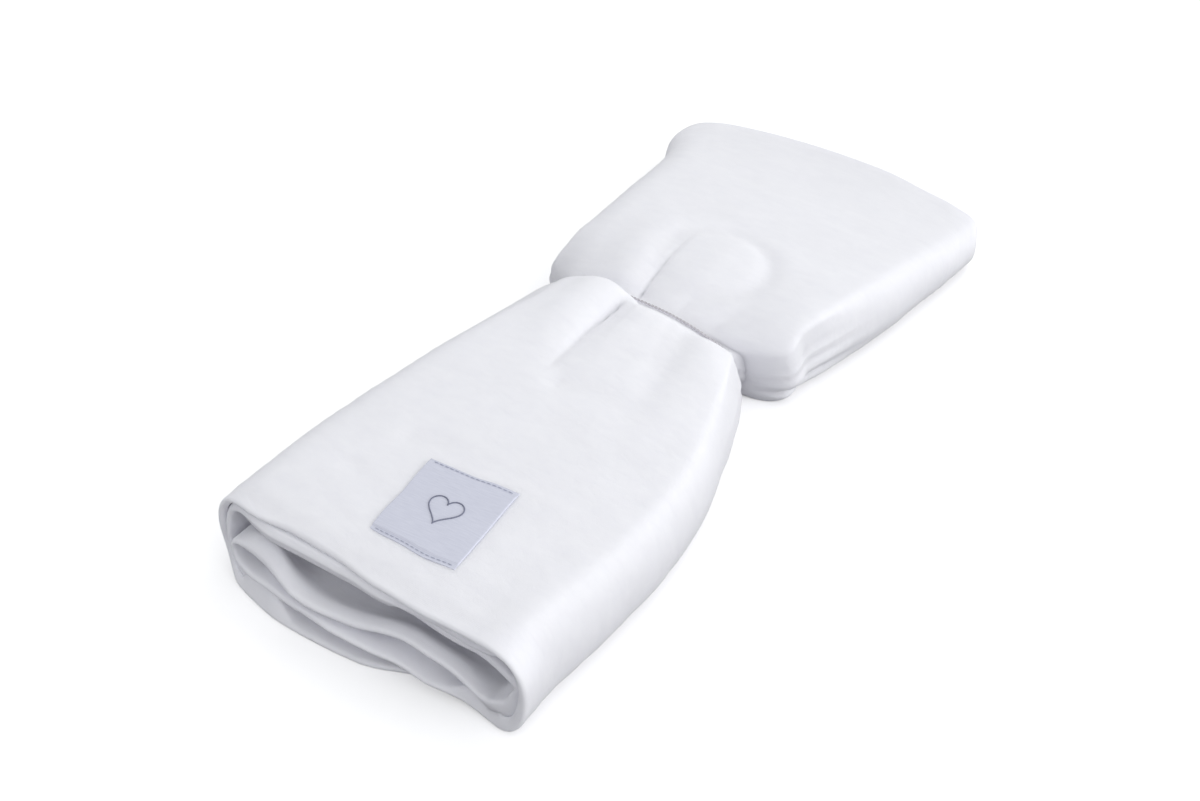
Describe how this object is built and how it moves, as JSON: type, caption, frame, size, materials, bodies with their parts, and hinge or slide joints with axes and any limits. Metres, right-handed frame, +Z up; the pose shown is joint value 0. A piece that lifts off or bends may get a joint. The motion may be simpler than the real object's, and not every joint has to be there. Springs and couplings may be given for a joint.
{
  "type": "swaddle blanket",
  "caption": "Muslin swaddle blanket folded to a strip, wrapped flat and drawn in at the middle by a thin cord, with a square sewn-on label.",
  "frame": {"origin": "middle of the bundle's underside, on the surface it lies on", "axes": "+Y along the bundle, from the labelled end to the plain end; +Z up"},
  "size_m": [0.1622, 0.3514, 0.0424],
  "materials": {
    "muslin": "white crinkled double muslin, matt",
    "label_satin": "woven satin, grey-lavender, soft sheen",
    "cord": "thin twisted pale grey cord, matt"
  },
  "bodies": {
    "root": {"blanket": "muslin", "label": "label_satin", "tie": "cord"}
  },
  "joints": []
}
